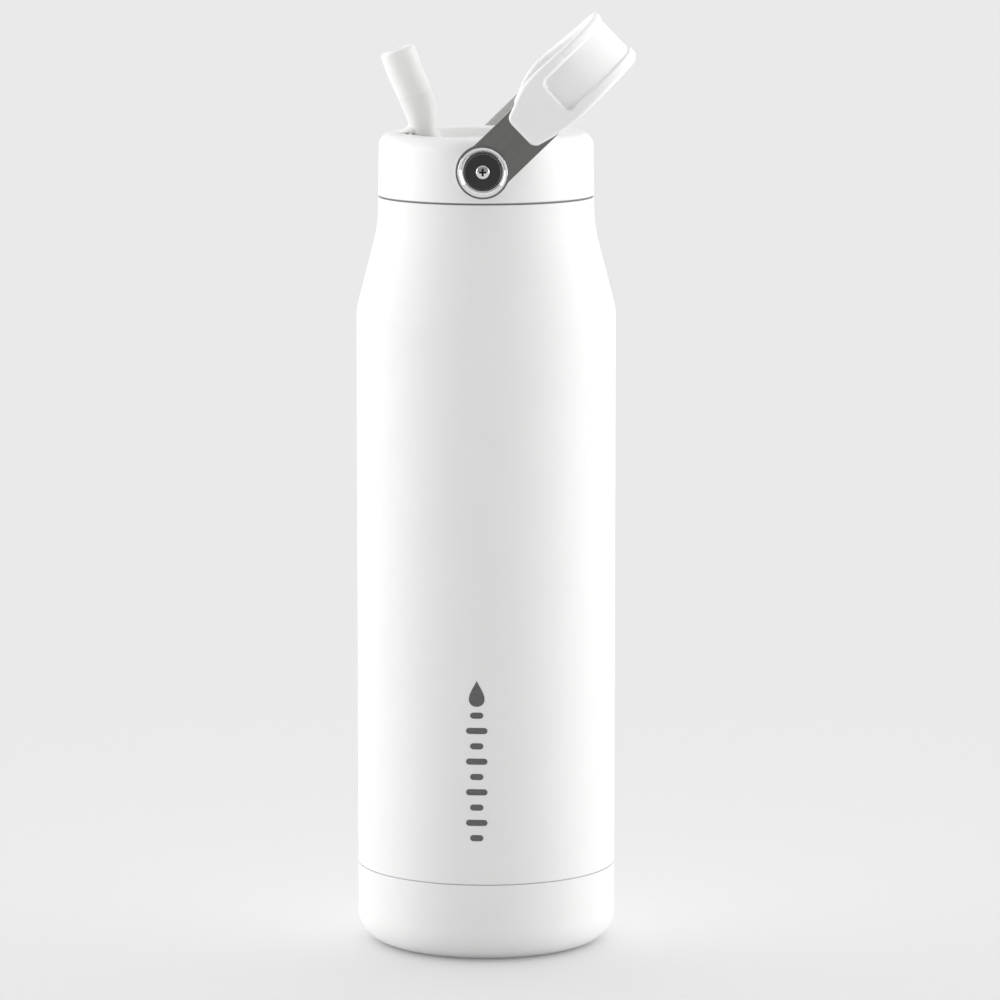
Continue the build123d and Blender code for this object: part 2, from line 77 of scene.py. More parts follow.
class BottleSizes(bpy.types.PropertyGroup):
    """Sizes that only the finish uses."""

    grip_edge: bpy.props.FloatProperty(
        name="Grip edge",
        description="Radius of the grip's long edges, in millimetres",
        default=1.1,
        min=0.2,
        max=1.3,
    )
    channel_depth: bpy.props.FloatProperty(
        name="Channel depth",
        description="Depth of the channel along the outside of the grip, in millimetres",
        default=0.62,
        min=0.0,
        max=1.2,
    )
    mouth_lip: bpy.props.FloatProperty(
        name="Mouth lip",
        description="Radius of the rim of the mouthpiece, in millimetres",
        default=1.0,
        min=0.3,
        max=1.1,
    )
    mark_height: bpy.props.FloatProperty(
        name="Mark height",
        description="Length of the etched level mark, in millimetres",
        default=47.0,
        min=20.0,
        max=80.0,
    )
    mark_width: bpy.props.FloatProperty(
        name="Mark width",
        description="Width of the etched level mark, in millimetres",
        default=6.0,
        min=3.0,
        max=12.0,
    )


class BottleColours(bpy.types.PropertyGroup):
    """Colours of the finishes."""

    coat: bpy.props.FloatVectorProperty(
        name="Powder coat",
        description="Colour of the coated steel",
        default=(0.83, 0.83, 0.825),
        subtype="COLOR",
    )
    lid: bpy.props.FloatVectorProperty(
        name="Lid",
        description="Colour of the moulded lid and grip",
        default=(0.86, 0.86, 0.855),
        subtype="COLOR",
    )
    spout: bpy.props.FloatVectorProperty(
        name="Spout",
        description="Colour of the spout",
        default=(0.83, 0.83, 0.82),
        subtype="COLOR",
    )
    strap: bpy.props.FloatVectorProperty(
        name="Strap",
        description="Colour of the brushed strap",
        default=(0.20, 0.20, 0.195),
        subtype="COLOR",
    )
    mark: bpy.props.FloatVectorProperty(
        name="Mark",
        description="Colour of the bare etched steel",
        default=(0.17, 0.17, 0.168),
        subtype="COLOR",
    )


# Materials -------------------------------------------------------------------------------------


def new_finish(name, colour, roughness, metallic=0.0, **sockets):
    """Principled material; every constant sits on its own socket."""
    finish = bpy.data.materials.new(name)
    finish.use_nodes = True
    shader = finish.node_tree.nodes["Principled BSDF"]
    shader.inputs["Base Color"].default_value = (*colour, 1.0)
    shader.inputs["Roughness"].default_value = roughness
    shader.inputs["Metallic"].default_value = metallic
    for socket, value in sockets.items():
        shader.inputs[socket.replace("_", " ")].default_value = value
    return finish


def grain(finish, size, stretch=(1.0, 1.0, 1.0), turn=0.0, detail=3.0):
    """Noise in the part's coordinates; size is the grain in metres, turn is about Y."""
    nodes, links = finish.node_tree.nodes, finish.node_tree.links
    place = nodes.new("ShaderNodeTexCoord")
    mapping = nodes.new("ShaderNodeMapping")
    mapping.vector_type = "TEXTURE"
    mapping.inputs["Rotation"].default_value = (0.0, turn, 0.0)
    mapping.inputs["Scale"].default_value = stretch
    noise = nodes.new("ShaderNodeTexNoise")
    noise.inputs["Scale"].default_value = 1.0 / size
    noise.inputs["Detail"].default_value = detail
    links.new(place.outputs["Object"], mapping.inputs["Vector"])
    links.new(mapping.outputs["Vector"], noise.inputs["Vector"])
    return noise.outputs["Fac"]


def vary_roughness(finish, factor, low, high):
    """Roughness runs from low to high with the grain."""
    nodes, links = finish.node_tree.nodes, finish.node_tree.links
    remap = nodes.new("ShaderNodeMapRange")
    remap.inputs["From Min"].default_value = 0.3
    remap.inputs["From Max"].default_value = 0.7
    remap.inputs["To Min"].default_value = low
    remap.inputs["To Max"].default_value = high
    links.new(factor, remap.inputs["Value"])
    links.new(remap.outputs["Result"], nodes["Principled BSDF"].inputs["Roughness"])


def vary_colour(finish, factor, dark, light):
    """Base colour runs from dark to light with the grain."""
    nodes, links = finish.node_tree.nodes, finish.node_tree.links
    ramp = nodes.new("ShaderNodeValToRGB")
    ramp.color_ramp.elements[0].position = 0.32
    ramp.color_ramp.elements[0].color = (*dark, 1.0)
    ramp.color_ramp.elements[1].position = 0.68
    ramp.color_ramp.elements[1].color = (*light, 1.0)
    links.new(factor, ramp.inputs["Fac"])
    links.new(ramp.outputs["Color"], nodes["Principled BSDF"].inputs["Base Color"])


def add_bump(finish, factor, depth, strength):
    """Surface relief of that depth in metres, stacked on any earlier relief."""
    nodes, links = finish.node_tree.nodes, finish.node_tree.links
    normal = nodes["Principled BSDF"].inputs["Normal"]
    bump = nodes.new("ShaderNodeBump")
    bump.inputs["Strength"].default_value = strength
    bump.inputs["Distance"].default_value = depth
    if normal.is_linked:
        links.new(normal.links[0].from_socket, bump.inputs["Normal"])
    links.new(factor, bump.inputs["Height"])
    links.new(bump.outputs["Normal"], normal)


def scaled(colour, factor):
    """Colour with every channel times a factor."""
    return tuple(channel * factor for channel in colour)


def powder_coat(colour):
    """Fine satin powder coat: orange peel, fine grit and faint tone variation."""
    finish = new_finish("powder_coat", colour, 0.5, Specular_IOR_Level=0.35)
    vary_colour(finish, grain(finish, 0.018), scaled(colour, 0.992), scaled(colour, 1.008))
    vary_roughness(finish, grain(finish, 0.0011), 0.46, 0.56)
    add_bump(finish, grain(finish, 0.0016, detail=1.0), 0.000022, 0.55)
    add_bump(finish, grain(finish, 0.00035, detail=2.0), 0.000008, 0.5)
    return finish


def moulded_plastic(name, colour, low=0.36, high=0.46):
    """Satin moulded plastic: fine spark-eroded texture and slow flow marks."""
    finish = new_finish(name, colour, 0.4, Specular_IOR_Level=0.42)
    vary_colour(finish, grain(finish, 0.011), scaled(colour, 0.990), scaled(colour, 1.006))
    vary_roughness(finish, grain(finish, 0.004), low, high)
    add_bump(finish, grain(finish, 0.0003, detail=2.0), 0.000008, 0.6)
    add_bump(finish, grain(finish, 0.006, detail=1.0), 0.00003, 0.3)
    return finish


def soft_rubber(name, colour, roughness=0.55, scatter=0.0):
    """Silicone: low gloss, slight scatter and a fine matte skin."""
    finish = new_finish(name, colour, roughness, Specular_IOR_Level=0.35)
    if scatter > 0:
        shader = finish.node_tree.nodes["Principled BSDF"]
        shader.inputs["Subsurface Weight"].default_value = scatter
        shader.inputs["Subsurface Radius"].default_value = (0.002, 0.002, 0.0018)
        shader.inputs["Subsurface Scale"].default_value = 1.0
    vary_colour(finish, grain(finish, 0.005), scaled(colour, 0.98), scaled(colour, 1.01))
    vary_roughness(finish, grain(finish, 0.0012), roughness - 0.06, roughness + 0.06)
    add_bump(finish, grain(finish, 0.00025), 0.000008, 0.6)
    return finish


def brushed_metal(name, colour, along, turn=0.0, low=0.26, high=0.42, depth=0.000006):
    """Brushed metal: long fine scratches; along gives the stretch of the grain per axis."""
    finish = new_finish(name, colour, 0.34, 1.0)
    scratches = grain(finish, 0.00022, along, turn, 4.0)
    streaks = grain(finish, 0.0004, along, turn, 3.0)
    vary_colour(finish, streaks, scaled(colour, 0.92), scaled(colour, 1.07))
    vary_roughness(finish, scratches, low, high)
    add_bump(finish, scratches, depth, 0.7)
    return finish


def paint_light_inside(finish, gain):
    """Painted light: raises the base colour by a gain on the faces that look towards the bottle's
    axis, so that they read as lit.
    """
    nodes, links = finish.node_tree.nodes, finish.node_tree.links
    base = nodes["Principled BSDF"].inputs["Base Color"]
    place = nodes.new("ShaderNodeTexCoord")
    parts = []
    for output in ("Object", "Normal"):
        split = nodes.new("ShaderNodeSeparateXYZ")
        links.new(place.outputs[output], split.inputs["Vector"])
        parts.append(split.outputs["Y"])
    product = nodes.new("ShaderNodeMath")
    product.operation = "MULTIPLY"
    links.new(parts[0], product.inputs[0])
    links.new(parts[1], product.inputs[1])
    remap = nodes.new("ShaderNodeMapRange")
    remap.inputs["From Min"].default_value = 0.005
    remap.inputs["From Max"].default_value = -0.005
    remap.inputs["To Min"].default_value = 1.0
    remap.inputs["To Max"].default_value = gain
    links.new(product.outputs["Value"], remap.inputs["Value"])
    brighten = nodes.new("ShaderNodeVectorMath")
    brighten.operation = "SCALE"
    links.new(base.links[0].from_socket, brighten.inputs[0])
    links.new(remap.outputs["Result"], brighten.inputs["Scale"])
    links.new(brighten.outputs["Vector"], base)


def polished_metal(name, colour, low=0.05, high=0.12):
    """Turned and polished metal with faint haze."""
    finish = new_finish(name, colour, 0.08, 1.0)
    vary_colour(finish, grain(finish, 0.0014), scaled(colour, 0.96), scaled(colour, 1.03))
    vary_roughness(finish, grain(finish, 0.0009), low, high)
    add_bump(finish, grain(finish, 0.0012, detail=1.0), 0.000003, 0.3)
    return finish


def clear_straw(colour):
    """Milky polypropylene tube."""
    finish = new_finish("straw_plastic", colour, 0.25, Specular_IOR_Level=0.5)
    shader = finish.node_tree.nodes["Principled BSDF"]
    shader.inputs["Transmission Weight"].default_value = 0.35
    vary_colour(finish, grain(finish, 0.01), scaled(colour, 0.97), scaled(colour, 1.0))
    vary_roughness(finish, grain(finish, 0.002, (1.0, 1.0, 12.0)), 0.2, 0.32)
    add_bump(finish, grain(finish, 0.0008, (1.0, 1.0, 20.0)), 0.00001, 0.4)
    return finish


# Mesh tools ------------------------------------------------------------------------------------


def rounded(corners):
    """Closed outline through (a, b, radius) corners, each rounded by an arc of that radius."""
    outline = []
    count = len(corners)
    for index, (a, b, radius) in enumerate(corners):
        here = Vector((a, b))
        if radius <= 0:
            outline.append(here)
            continue
        before = (Vector(corners[index - 1][:2]) - here).normalized()
        after = (Vector(corners[(index + 1) % count][:2]) - here).normalized()
        half = before.angle(after) / 2
        middle = here + (before + after).normalized() * (radius / sin(half))
        reach = radius * cos(half) / sin(half)
        start = here + before * reach
        end = here + after * reach
        first = atan2(start.y - middle.y, start.x - middle.x)
        sweep = atan2(end.y - middle.y, end.x - middle.x) - first
        sweep = (sweep + pi) % (2 * pi) - pi
        steps = max(3, ceil(abs(sweep) / radians(7.5)))
        for step in range(steps + 1):
            angle = first + sweep * step / steps
            outline.append(middle + Vector((cos(angle), sin(angle))) * radius)
    return outline


def mesh_object(name, shape, finish, body, *replaced):
    """Object from a bmesh: smooth faces, sharp edges kept, material, body and replaced nodes."""
    bmesh.ops.remove_doubles(shape, verts=shape.verts, dist=1e-7)
    bmesh.ops.recalc_face_normals(shape, faces=shape.faces)
    mesh = bpy.data.meshes.new(name)
    shape.to_mesh(mesh)
    shape.free()
    mesh.polygons.foreach_set("use_smooth", [True] * len(mesh.polygons))
    mesh.set_sharp_from_angle(angle=radians(32))
    mesh.materials.append(finish)
    piece = bpy.data.objects.new(name, mesh)
    bpy.context.scene.collection.objects.link(piece)
    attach(piece, body)
    if replaced:
        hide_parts(*replaced)
    return piece


def lathe(outline, segments=192):
    """Closed outline of (radius, height) points turned about Z."""
    shape = bmesh.new()
    rings = []
    for radius, height in outline:
        if radius < 1e-6:
            rings.append([shape.verts.new((0.0, 0.0, height))] * segments)
            continue
        ring = []
        for step in range(segments):
            angle = 2 * pi * step / segments
            ring.append(shape.verts.new((radius * cos(angle), radius * sin(angle), height)))
        rings.append(ring)
    for ring, other in zip(rings, rings[1:] + rings[:1]):
        for step in range(segments):
            ahead = (step + 1) % segments
            corners = [ring[step], ring[ahead], other[ahead], other[step]]
            corners = list(dict.fromkeys(corners))
            if len(corners) > 2:
                shape.faces.new(corners)
    return shape


def pivot_frame(sign):
    """Frame of one pivot stack: millimetres, its own +Z along the pivot, outwards."""
    turn = Matrix.Rotation(radians(-90.0 if sign > 0 else 90.0), 4, "X")
    return Matrix.Translation(PIVOT) @ turn @ SCALE


def placed(shape, place):
    """Shape moved into a frame."""
    shape.transform(place)
    return shape


def ring_loft(rings, closed=False):
    """Skin through rings of equal length; a closed one joins its ends, an open one is capped."""
    shape = bmesh.new()
    loops = [[shape.verts.new(point) for point in ring] for ring in rings]
    count = len(loops[0])
    following = loops[1:] + loops[:1] if closed else loops[1:]
    for low, high in zip(loops, following):
        for step in range(count):
            ahead = (step + 1) % count
            shape.faces.new([low[step], low[ahead], high[ahead], high[step]])
    if not closed:
        shape.faces.new(loops[0][::-1])
        shape.faces.new(loops[-1])
    return shape


def rounded_ring(back, front, half_depth, corner, height, per_corner=14):
    """Rounded rectangle at a height: back towards -X, front towards +X, corners as arcs."""
    ring = []
    sides = ((front, half_depth), (-back, half_depth), (-back, -half_depth), (front, -half_depth))
    for quarter, (x, y) in enumerate(sides):
        inward = Vector((-corner if x > 0 else corner, -corner if y > 0 else corner))
        middle = Vector((x, y)) + inward
        for step in range(per_corner):
            angle = pi / 2 * (quarter + step / (per_corner - 1))
            ring.append((middle.x + corner * cos(angle), middle.y + corner * sin(angle), height))
    return ring


def through(stops, at):
    """Smooth curve through (place, value) stops, read at a place."""
    if at <= stops[0][0]:
        return stops[0][1]
    if at >= stops[-1][0]:
        return stops[-1][1]
    index = next(i for i in range(len(stops) - 1) if at <= stops[i + 1][0])
    low, high = stops[index], stops[index + 1]
    before = stops[max(index - 1, 0)]
    after = stops[min(index + 2, len(stops) - 1)]
    span = high[0] - low[0]
    slope_low = (high[1] - before[1]) / (high[0] - before[0])
    slope_high = (after[1] - low[1]) / (after[0] - low[0])
    t = (at - low[0]) / span
    value = (1 + 2 * t) * (1 - t) ** 2 * low[1] + t * t * (3 - 2 * t) * high[1]
    return value + span * (t * (1 - t) ** 2 * slope_low - t * t * (1 - t) * slope_high)


def carve(shape, tool, operation="DIFFERENCE"):
    """Exact boolean of two closed shapes."""
    things = []
    for item in (shape, tool):
        bmesh.ops.recalc_face_normals(item, faces=item.faces)
        mesh = bpy.data.meshes.new("work")
        item.to_mesh(mesh)
        item.free()
        thing = bpy.data.objects.new("work", mesh)
        bpy.context.scene.collection.objects.link(thing)
        things.append(thing)
    modifier = things[0].modifiers.new("carve", "BOOLEAN")
    modifier.operation = operation
    modifier.solver = "EXACT"
    modifier.object = things[1]
    depsgraph = bpy.context.evaluated_depsgraph_get()
    mesh = bpy.data.meshes.new_from_object(things[0].evaluated_get(depsgraph))
    result = bmesh.new()
    result.from_mesh(mesh)
    for used in [mesh] + [thing.data for thing in things]:
        bpy.data.meshes.remove(used)
    if not result.faces:
        raise RuntimeError("a boolean left nothing")
    return result


def rod(radius, low, high, segments=64):
    """Plain cylinder along Z; a cutter, or a core that other shapes join."""
    rings = []
    for height in (low, high):
        ring = []
        for step in range(segments):
            angle = 2 * pi * step / segments
            ring.append((radius * cos(angle), radius * sin(angle), height))
        rings.append(ring)
    return ring_loft(rings)


def paint(finish, *names):
    """Gives carried-over nodes a finish."""
    for name in names:
        mesh = NODES[name].data
        mesh.materials.clear()
        mesh.materials.append(finish)


# Pieces ----------------------------------------------------------------------------------------


class BOTTLE_OT_steel_body(bpy.types.Operator):
    """Finish the coated shell, the base cup and the cover disc."""

    bl_idname = "bottle.steel_body"
    bl_label = "Steel body"

    def execute(self, context):
        colours = context.scene.bottle_colours
        coat = powder_coat(colours.coat)
        paint(coat, "outer_shell", "base_cup", "base_disc")
        return {"FINISHED"}


class BOTTLE_OT_lid(bpy.types.Operator):
    """Finish the lid, its plug and its gasket."""

    bl_idname = "bottle.lid"
    bl_label = "Lid"

    def execute(self, context):
        colours = context.scene.bottle_colours
        paint(moulded_plastic("lid_plastic", colours.lid), "lid_shell")
        paint(moulded_plastic("core_plastic", scaled(colours.lid, 0.96), 0.42, 0.52), "lid_core")
        paint(soft_rubber("gasket_rubber", (0.19, 0.19, 0.19), 0.6), "lid_gasket")
        return {"FINISHED"}


class BOTTLE_OT_spout(bpy.types.Operator):
    """Loft the flip spout's stem and mouthpiece, and finish its seal and pins."""

    bl_idname = "bottle.spout"
    bl_label = "Spout"

    # Millimetres. Places along the stem from the pivot, each with the stem's reach to the back,
    # its reach to the front, its half depth or its corner radius there
    back_stops = (
        (-3.0, 3.5),
        (5.0, 3.5),
        (9.0, 3.6),
        (13.0, 3.85),
        (17.3, 4.25),
        (22.5, 4.8),
        (28.8, 5.0),
    )
    front_stops = (
        (-3.0, 4.4),
        (0.0, 4.1),
        (2.2, 3.65),
        (5.2, 3.75),
        (9.0, 5.2),
        (11.5, 5.5),
        (15.3, 5.45),
        (22.0, 5.1),
        (28.8, 4.9),
    )
    depth_stops = ((-3.0, 6.6), (0.0, 6.3), (3.0, 5.9), (10.0, 6.2), (18.0, 6.45), (28.8, 6.3))
    corner_stops = ((-3.0, 3.35), (6.0, 3.4), (10.0, 4.0), (18.0, 4.4), (28.8, 4.5))
    foot = -3.0
    joint = 15.3
    joint_gap = 0.004
    top = 28.8
    bore = 3.0
    bore_edge = 0.35
    nipple_radius = 3.6
    nipple_top = 23.3
    nipple_gap = 0.05
    barrel_radius = 5.5
    barrel_half_length = 6.8
    barrel_edge = 0.5
    barrel_top = 1.3
    pin_radius = 1.55
    pin_depth = 2.7
    heel_low = 4.12
    heel_high = 8.6
    heel_reach = 8.5
    heel_half_depth = 5.3
    heel_taper = 0.7
    heel_corner = 3.2
    heel_sink = 0.25
    heel_flare = 3.2

    def execute(self, context):
        colours = context.scene.bottle_colours
        body = moulded_plastic("spout_plastic", colours.spout, 0.3, 0.4)
        mesh_object("spout_stem", self.stem(), body, "spout", "spout_carrier")
        soft = soft_rubber("mouth_rubber", scaled(colours.spout, 1.05), 0.36, 0.12)
        lip = context.scene.bottle_sizes.mouth_lip
        mesh_object("spout_mouth", self.mouth(lip), soft, "spout", "spout_mouthpiece")
        seal = soft_rubber("seal_rubber", (0.75, 0.75, 0.74))
        paint(seal, "spout_seal", "vent_valve", "straw_port")
        pin = brushed_metal("pin_steel", (0.55, 0.55, 0.56), (1.0, 30.0, 1.0))
        paint(pin, "spout_pin_front", "spout_pin_back", "pivot_bush_front", "pivot_bush_back")
        return {"FINISHED"}

    def section(self, height, shrink=0.0):
        """Outside of the stem and of the mouthpiece at a height along the stem."""
        back = through(self.back_stops, height) - shrink
        front = through(self.front_stops, height) - shrink
        depth = through(self.depth_stops, height) - shrink
        corner = min(through(self.corner_stops, height), (back + front) / 2 - 0.02)
        return rounded_ring(back, front, depth, corner, height)

    def stem(self):
        """Stem, barrel and heel in one, with the bore and the pin holes."""
        end = self.joint - self.joint_gap
        steps = 36
        heights = [self.foot + (end - self.foot) * step / steps for step in range(steps + 1)]
        shape = ring_loft([self.section(height) for height in heights])
        across = Matrix.Rotation(pi / 2, 4, "X")
        barrel_outline = rounded(
            [
                (0.0, -self.barrel_half_length, 0.0),
                (self.barrel_radius, -self.barrel_half_length, self.barrel_edge),
                (self.barrel_radius, self.barrel_half_length, self.barrel_edge),
                (0.0, self.barrel_half_length, 0.0),
            ]
        )
        barrel = placed(lathe(barrel_outline, 96), across)
        clear = 2 * self.barrel_radius
        top = ring_loft(
            [
                rounded_ring(clear, clear, clear, 0.5, self.barrel_top, 3),
                rounded_ring(clear, clear, clear, 0.5, clear, 3),
            ]
        )
        barrel = carve(barrel, placed(top, Matrix.Rotation(SPOUT_LEAN, 4, "Y")))
        shape = carve(shape, barrel, "UNION")
        shape = carve(shape, self.heel(), "UNION")
        nipple = rod(self.nipple_radius, end - 1.0, self.nipple_top - self.nipple_gap)
        shape = carve(shape, nipple, "UNION")
        shape = carve(shape, rod(self.bore, -self.barrel_radius - 1.0, self.top))
        for sign in SIDES.values():
            turn = Matrix.Rotation(-sign * pi / 2, 4, "X")
            start = self.barrel_half_length - self.pin_depth
            hole = rod(self.pin_radius, start, self.barrel_half_length + 1.0, 48)
            shape = carve(shape, placed(hole, turn))
        return placed(shape, SPOUT_FRAME)

    def heel(self):
        """Thumb heel: level underneath when the spout stands open, flaring from the stem's back."""
        level = Matrix.Rotation(SPOUT_LEAN, 4, "Y")
        rings = []
        steps = 14
        for step in range(steps + 1):
            height = self.heel_low + (self.heel_high - self.heel_low) * step / steps
            leaning = through(self.back_stops, height) + height * sin(SPOUT_LEAN)
            root = leaning / cos(SPOUT_LEAN) - self.heel_sink
            rise = max(0.0, (step - 1) / (steps - 1))
            reach = root + (self.heel_reach - root) * (1 - rise) ** self.heel_flare
            depth = self.heel_half_depth - self.heel_taper * rise
            rings.append(rounded_ring(reach, 1.5, depth, self.heel_corner, height))
        return placed(ring_loft(rings), level)

    def mouth(self, lip):
        """Soft sleeve with a rounded rim, a bore and a pocket for the nipple."""
        steps = 30
        straight = self.top - lip - self.joint
        rings = [self.section(self.joint + straight * step / steps) for step in range(steps + 1)]
        for step in range(1, 9):
            angle = pi / 2 * step / 8
            shrink = lip * (1 - cos(angle))
            ring = self.section(self.top, shrink)
            rings.append([(x, y, self.top - lip + lip * sin(angle)) for x, y, _ in ring])
        turns = []
        for step in range(5):
            angle = pi / 2 * step / 4
            radius = self.bore + self.bore_edge * (1 - sin(angle))
            turns.append((radius, self.top - self.bore_edge * (1 - cos(angle))))
        pocket = self.nipple_radius + self.joint_gap
        turns += [(self.bore, self.nipple_top), (pocket, self.nipple_top), (pocket, self.joint)]
        for radius, height in turns:
            rings.append(rounded_ring(radius, radius, radius, radius, height))
        return placed(ring_loft(rings, closed=True), SPOUT_FRAME)


class BOTTLE_OT_handle(bpy.types.Operator):
    """Sweep the moulded grip round the bail, and finish the brushed strap."""

    bl_idname = "bottle.handle"
    bl_label = "Handle"

    # Millimetres. Places along the arm from the pivot, each with the grip's reach to the front
    # or to the back there
    front_stops = (
        (14.8, 4.9),
        (17.0, 5.5),
        (19.5, 6.15),
        (24.0, 7.1),
        (28.5, 7.65),
        (34.0, 7.85),
        (90.0, 7.85),
    )
    back_stops = (
        (14.8, 5.8),
        (18.2, 6.95),
        (21.0, 8.2),
        (24.6, 9.3),
        (29.0, 9.65),
        (34.0, 9.5),
        (40.0, 9.15),
        (47.0, 9.0),
        (90.0, 9.0),
    )
    tip = 14.8
    tip_corner = 1.7
    bend_start = 28.3
    bend_radius = 21.0
    rim = 1.8
    inner = -3.2
    channel_start = 28.4
    channel_corner = 2.2
    channel_half_width = 5.6
    channel_centre = -0.85
    channel_wall = 0.75
    channel_scoop = 1.7
    channel_scoop_length = 11.0
    nominal_half_width = 8.6
    # Painted light: the strap's faces towards the bottle's axis take a base colour this many times
    # brighter
    inside_painted_light_gain = 3.0

    def execute(self, context):
        colours = context.scene.bottle_colours
        along = (90.0, 90.0, 1.0)
        turn = HANDLE_ANGLE - pi / 2
        steel = brushed_metal("strap_steel", colours.strap, along, turn, 0.3, 0.42, 0.000003)
        # Painted light on the strap: its faces towards the bottle's axis, the far arm's inner face
        # among them, are painted brighter
        paint_light_inside(steel, self.inside_painted_light_gain)
        paint(steel, "handle_strap")
        plastic = moulded_plastic("grip_plastic", colours.lid, 0.4, 0.5)
        mesh_object("grip", self.grip(context.scene.bottle_sizes), plastic, "handle", "handle_grip")
        return {"FINISHED"}

    def stations(self):
        """Distances along the bail from the tip, finest at the tip and where the channel starts."""
        near = [0.0, 0.05, 0.14, 0.3, 0.5, 0.75, 1.05, 1.4, 1.75, 2.3]
        near = [self.tip + step for step in near]
        near += [self.tip + 3.2 + 0.75 * step for step in range(13)]
        near += [self.channel_start - 1.0 + 0.15 * step for step in range(30)]
        bend_end = self.bend_start + self.bend_radius * pi / 2
        rest = bend_end - near[-1]
        near += [near[-1] + rest * step / 30 for step in range(1, 31)]
        crown = STRAP_OUTSIDE - self.bend_radius
        near += [bend_end + crown * step / 8 for step in range(1, 9)]
        return near

    def frame_at(self, along):
        """Point (y, z) on the strap's outer face and the outward direction there, on one arm."""
        if along <= self.bend_start:
            return (STRAP_OUTSIDE, along), (1.0, 0.0)
        angle = min((along - self.bend_start) / self.bend_radius, pi / 2)
        past_bend = max(along - self.bend_start - self.bend_radius * pi / 2, 0.0)
        y = STRAP_OUTSIDE - self.bend_radius + self.bend_radius * cos(angle) - past_bend
        z = self.bend_start + self.bend_radius * sin(angle)
        return (y, z), (cos(angle), sin(angle))

    def channel(self, along, across, depth):
        """How far the channel sinks below the rim at a place on the grip."""
        side = abs(across - self.channel_centre) - self.channel_half_width + self.channel_corner
        end = self.channel_start - along + self.channel_corner
        outside = sqrt(max(side, 0.0) ** 2 + max(end, 0.0) ** 2)
        distance = min(max(side, end), 0.0) + outside - self.channel_corner
        t = min(max(0.5 - distance / self.channel_wall, 0.0), 1.0)
        past = min(max((along - self.channel_start) / self.channel_scoop_length, 0.0), 1.0)
        scoop = 1 + self.channel_scoop * (1 - past * past * (3 - 2 * past))
        return depth * scoop * t * t * (3 - 2 * t)

    def section(self, along, sizes):
        """Ring of (outward, across) points of the grip at a place along the bail."""
        past_tip = along - self.tip
        edge = sizes.grip_edge
        pinch = 0.0
        if past_tip < edge:
            pinch = edge - sqrt(edge**2 - (edge - past_tip) ** 2)
        narrow = 0.0
        if past_tip < self.tip_corner:
            narrow = self.tip_corner - sqrt(self.tip_corner**2 - (self.tip_corner - past_tip) ** 2)
        front = through(self.front_stops, along) - narrow
        back = through(self.back_stops, along) - narrow
        high = self.rim - pinch
        low = self.inner + pinch
        ring = []
        shifts = (-0.9, -0.45, -0.3, -0.15, 0.0, 0.15, 0.3, 0.45)
        flat = [side * (self.channel_half_width + shift) for side in (-1, 1) for shift in shifts]
        flat = sorted(flat + [-3.0, -1.0, 1.0, 3.0])
        half = (front + back) / 2
        centre = (front - back) / 2
        for across in flat:
            place = centre + across * (half - edge) / (self.nominal_half_width - edge)
            ring.append((high - self.channel(along, place, sizes.channel_depth), place))
        corners = (
            (front, high, 1, 1),
            (front, low, 1, -1),
            (-back, low, -1, -1),
            (-back, high, -1, 1),
        )
        starts = (pi / 2, 0.0, -pi / 2, -pi)
        for (across, outward, side, up), start in zip(corners, starts):
            middle_across = across - side * edge
            middle_outward = outward - up * edge
            for step in range(7):
                angle = start - pi / 2 * step / 6
                ring.append((middle_outward + edge * sin(angle), middle_across + edge * cos(angle)))
        return ring

    def grip(self, sizes):
        """Whole grip, from the tip on one arm over the crown to the tip on the other."""
        stations = self.stations()
        path = [(along, 1.0) for along in stations]
        path += [(along, -1.0) for along in stations[-2::-1]]
        rings = []
        for along, arm in path:
            (y, z), (out_y, out_z) = self.frame_at(along)
            ring = []
            for outward, across in self.section(along, sizes):
                ring.append((across, arm * (y + outward * out_y), z + outward * out_z))
            rings.append(ring)
        return placed(ring_loft(rings), HANDLE_FRAME)


